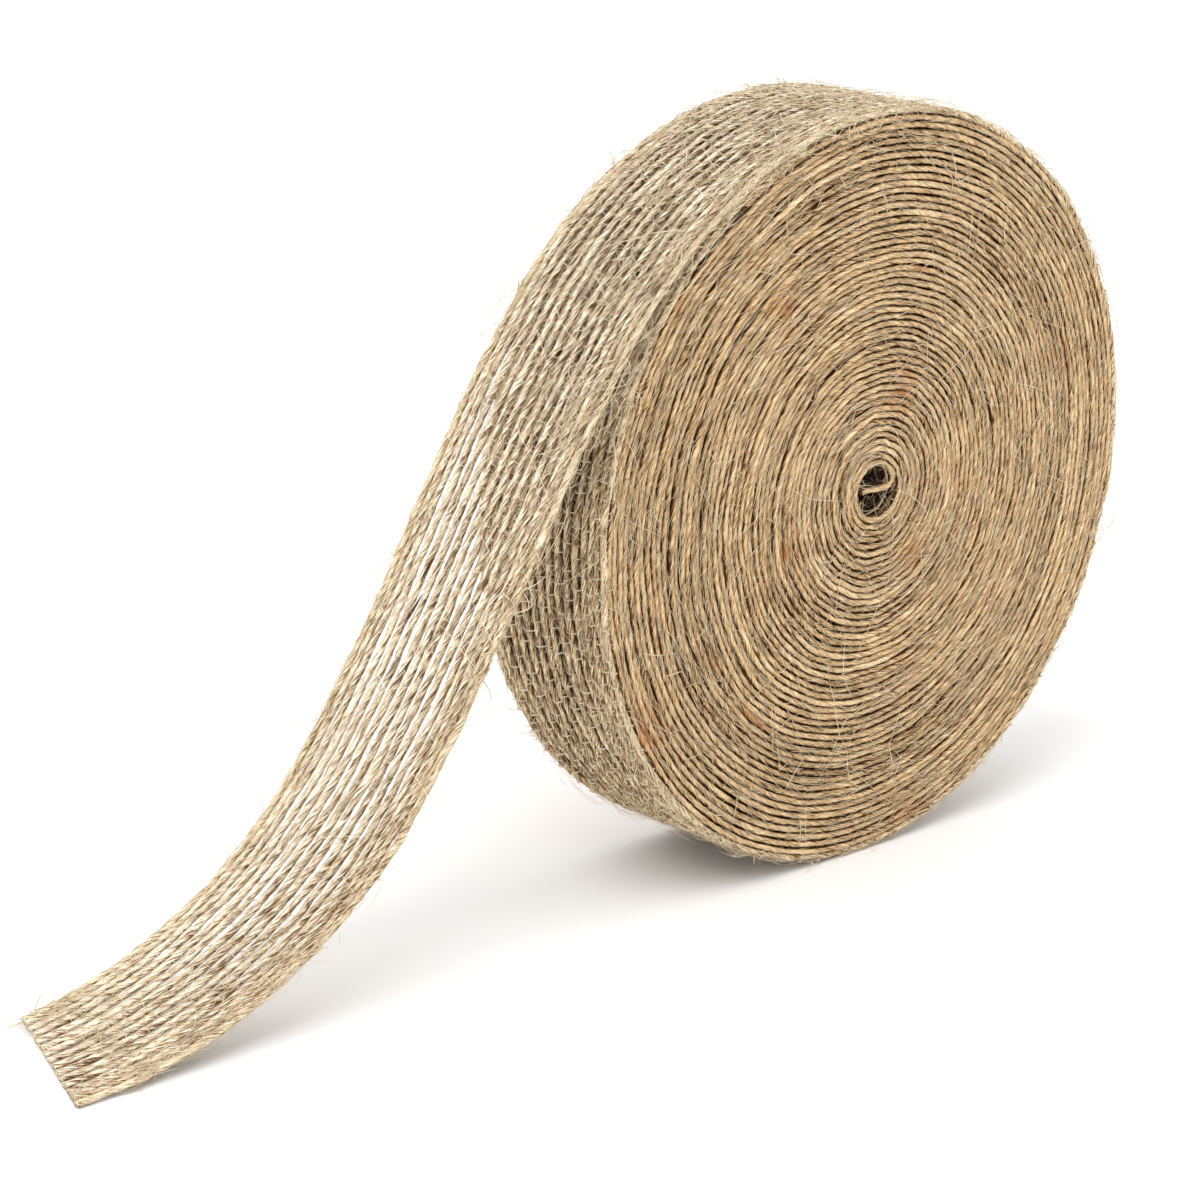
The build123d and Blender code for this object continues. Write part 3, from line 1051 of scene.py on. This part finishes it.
def ribbon_piece(name, start, end, spacing, sides, seed, close, stray, last=False):
    """One length of the free ribbon: its yarns, its weft and its loose fibres, as three objects.

    spacing is that of the steps along a yarn and sides its points round, close and stray count the two kinds
    of loose fibres, and last is for the piece with the tail's cut end.
    """
    yarns = Pile()
    flecks = [(tail_start + where, level, length, depth) for where, level, length, depth in TAIL_FLECKS]
    whole = steps_along(0.0, ribbon.length, spacing)
    for lane in range(YARNS):
        stop = min(end, cut_at(LANES[lane])) if last else end
        along = whole[(whole > start + spacing * 0.3) & (whole < stop - spacing * 0.3)]
        along = np.concatenate([[start], along, [stop]])
        near_end = np.clip((along - (ribbon.length - PALE_END)) / PALE_END_FADE, 0, 1)
        # Painted light: the back half of the tail is made paler, standing in for light shining through it from
        # behind
        painted_backlight = BACKLIT_TONE * np.clip((LANES[lane] - BACKLIT_FROM) / BACKLIT_ACROSS_FADE, 0, 1)
        painted_backlight = painted_backlight * np.clip((along - tail_start) / BACKLIT_ALONG_FADE, 0, 1)
        lift = lift_at(along)
        swell = FLAT_END_SWELL
        slot = 0
        if lane in (0, 1, YARNS - 1):
            lift = lift - EDGE_TUCK * np.clip((tail_start - along) / EDGE_TUCK_FADE, 0, 1)
            swell = FLAT_END_EDGE_SWELL
            slot = 1
        yarn(
            yarns,
            ribbon,
            along,
            lane,
            300 + lane,
            sides,
            lift=lift,
            broad=1.0 + swell * near_end,
            pale=PALE_END_TONE * near_end + painted_backlight,
            slot=slot,
            flecks=flecks,
        )
    # The outermost turn gets the darker jute of painted shade, the tail its own
    if end <= tail_start:
        materials = (shaded_turn_jute, shaded_turn_jute)
        thick = TURN_WEFT
    else:
        materials = (warp_jute, tail_edge_jute)
        thick = TAIL_WEFT
    made = yarns.build(name + "_yarns", *materials)

    woven_end = end - END_CUT_SKEW if last else end
    thread = Pile()
    weave(thread, ribbon, start, woven_end, seed + 50, thick=thick)
    weft = thread.build(name + "_weft", weft_yarn)

    fibres = Pile()
    ribbon_fuzz(fibres, start, woven_end, close, CLOSE_FIBRES, seed + 70)
    ribbon_fuzz(fibres, start, woven_end, stray, STRAY_FIBRES, seed + 72)
    for where, level, length in SLIVERS:
        if start <= tail_start + where < end:
            bark_sliver(fibres, tail_start + where, level, length)
    loose = fibres.build(name + "_fibres", fibre_jute)
    return made, weft, loose


def bark_sliver(pile, along, level, length):
    """Adds one brown sliver of bark that lies askew along a yarn's upper side."""
    shares = np.linspace(-0.5, 0.5, 7)
    middle, heading = ribbon.at(along + shares * length)
    off = YARN_HALF_THICKNESS * 1.05
    heights = level + shares * length * 0.16
    x = middle[:, 0] + off * np.sin(heading)
    z = middle[:, 1] - off * np.cos(heading)
    width = 0.0003 * np.cos(shares * pi * 0.9)
    round_tubes(pile, np.stack([x, heights, z], axis=-1)[None], width[None], 5, -1.0, 1, rust=1.0)


def middle_of(stretch):
    """The distance along the ribbon of the middle of one stretch of the tail, counted from 0."""
    return tail_start + (stretch + 0.5) * STRETCH


TURN_SPACING = 0.00075
TURN_SIDES = 7
TAIL_SPACING = 0.00055
TAIL_SIDES = 8
turn_pieces = ribbon_piece("unwinding_turn", 0.0, tail_start, TURN_SPACING, TURN_SIDES, 400, 4600, 1100)
root_pieces = ribbon_piece("tail_root", tail_start, middle_of(1), TAIL_SPACING, TAIL_SIDES, 410, 1300, 620)
for piece in turn_pieces + root_pieces:
    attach(piece, "outer_turn")
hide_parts("outer_turn_selvedge_front", "outer_turn_selvedge_back", "outer_turn_warp")
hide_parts("outer_turn_weft")
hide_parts("tail_1_warp", "tail_1_selvedges")
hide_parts("tail_1_weft")

# How many close fibres each bending piece of the tail has, and how many stray ones, most next to the roll
CLOSE = 900
STRAYS = [420, 190, 90, 70]
for number in range(1, 5):
    start = middle_of(number)
    end = middle_of(number + 1)
    seed = 410 + 10 * number
    stray = STRAYS[number - 1]
    pieces = ribbon_piece(f"tail_bend_{number}", start, end, TAIL_SPACING, TAIL_SIDES, seed, CLOSE, stray)
    for piece in pieces:
        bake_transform(piece)
    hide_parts(f"tail_{number + 1}_warp", f"tail_{number + 1}_selvedges")
    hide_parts(f"tail_{number + 1}_weft")
end_pieces = ribbon_piece(
    "tail_end", middle_of(5), ribbon.length, TAIL_SPACING, TAIL_SIDES, 470, 560, 50, last=True
)
for piece in end_pieces:
    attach(piece, "tail_5")


# -----------------------------------------------------------------------------
# Stage, light and camera
# -----------------------------------------------------------------------------

FLOOR_HALF = 4.0
FLOOR_LEVEL = -0.0002
floor_corners = [
    (-FLOOR_HALF, -FLOOR_HALF, FLOOR_LEVEL),
    (FLOOR_HALF, -FLOOR_HALF, FLOOR_LEVEL),
    (FLOOR_HALF, FLOOR_HALF, FLOOR_LEVEL),
    (-FLOOR_HALF, FLOOR_HALF, FLOOR_LEVEL),
]
floor_mesh = bpy.data.meshes.new("floor")
floor_mesh.from_pydata(floor_corners, [], [(0, 1, 2, 3)])
floor = bpy.data.objects.new("floor", floor_mesh)
scene.collection.objects.link(floor)
white = bpy.data.materials.new("floor_white")
white.use_nodes = True
white_shader = white.node_tree.nodes["Principled BSDF"]
white_shader.inputs["Base Color"].default_value = (0.93, 0.93, 0.93, 1)
white_shader.inputs["Roughness"].default_value = 0.9
white_shader.inputs["Specular IOR Level"].default_value = 0.1
floor_mesh.materials.append(white)
floor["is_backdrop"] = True

WORLD_STRENGTH = 1.06
world = bpy.data.worlds.new("studio")
world.use_nodes = True
world.node_tree.nodes["Background"].inputs["Color"].default_value = (1.0, 1.0, 1.0, 1)
world.node_tree.nodes["Background"].inputs["Strength"].default_value = WORLD_STRENGTH
scene.world = world

# A wide, soft light from above, on the tail's side of the roll and a little in front
SUN_ENERGY = 1.45
SUN_ANGLE = 38.0
SUN_SHINES = (0.7, 0.25, -1.0)
sun_data = bpy.data.lights.new("overhead_softbox", "SUN")
sun_data.energy = SUN_ENERGY
sun_data.angle = radians(SUN_ANGLE)
sun = bpy.data.objects.new("overhead_softbox", sun_data)
sun.rotation_euler = Vector(SUN_SHINES).to_track_quat("-Z", "Y").to_euler()
scene.collection.objects.link(sun)

CAMERA_AZIMUTH = 45.2
CAMERA_ELEVATION = 16.67
CAMERA_ROLL = 2.35
CAMERA_DISTANCE = 0.805
CAMERA_TARGET = (0.0005, 0.0, 0.068)
CAMERA_LENS = 112.3

camera_data = bpy.data.cameras.new("camera")
camera_data.lens = CAMERA_LENS
camera_data.sensor_width = 36.0
camera_data.clip_start = 0.05
camera_data.clip_end = 30.0
camera = bpy.data.objects.new("camera", camera_data)
azimuth = radians(CAMERA_AZIMUTH)
elevation = radians(CAMERA_ELEVATION)
ahead = Vector((cos(elevation) * sin(azimuth), cos(elevation) * cos(azimuth), -sin(elevation)))
level_right = Vector((cos(azimuth), -sin(azimuth), 0.0))
level_up = level_right.cross(ahead)
tilt = radians(CAMERA_ROLL)
right = cos(tilt) * level_right + sin(tilt) * level_up
up = -sin(tilt) * level_right + cos(tilt) * level_up
place = Vector(CAMERA_TARGET) - CAMERA_DISTANCE * ahead
camera.matrix_world = Matrix.Translation(place) @ Matrix((right, up, -ahead)).transposed().to_4x4()
scene.collection.objects.link(camera)
scene.camera = camera

scene.view_settings.view_transform = "Standard"
scene.view_settings.look = "None"

bounds_at_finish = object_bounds()


def as_lists(value):
    """Plain lists from whatever the bounds are made of."""
    if isinstance(value, dict):
        return {key: as_lists(part) for key, part in value.items()}
    if isinstance(value, (int, float, str)) or value is None:
        return value
    return [as_lists(part) for part in value]


{"at_load": as_lists(bounds_at_load), "before_finish": as_lists(bounds_at_finish)}
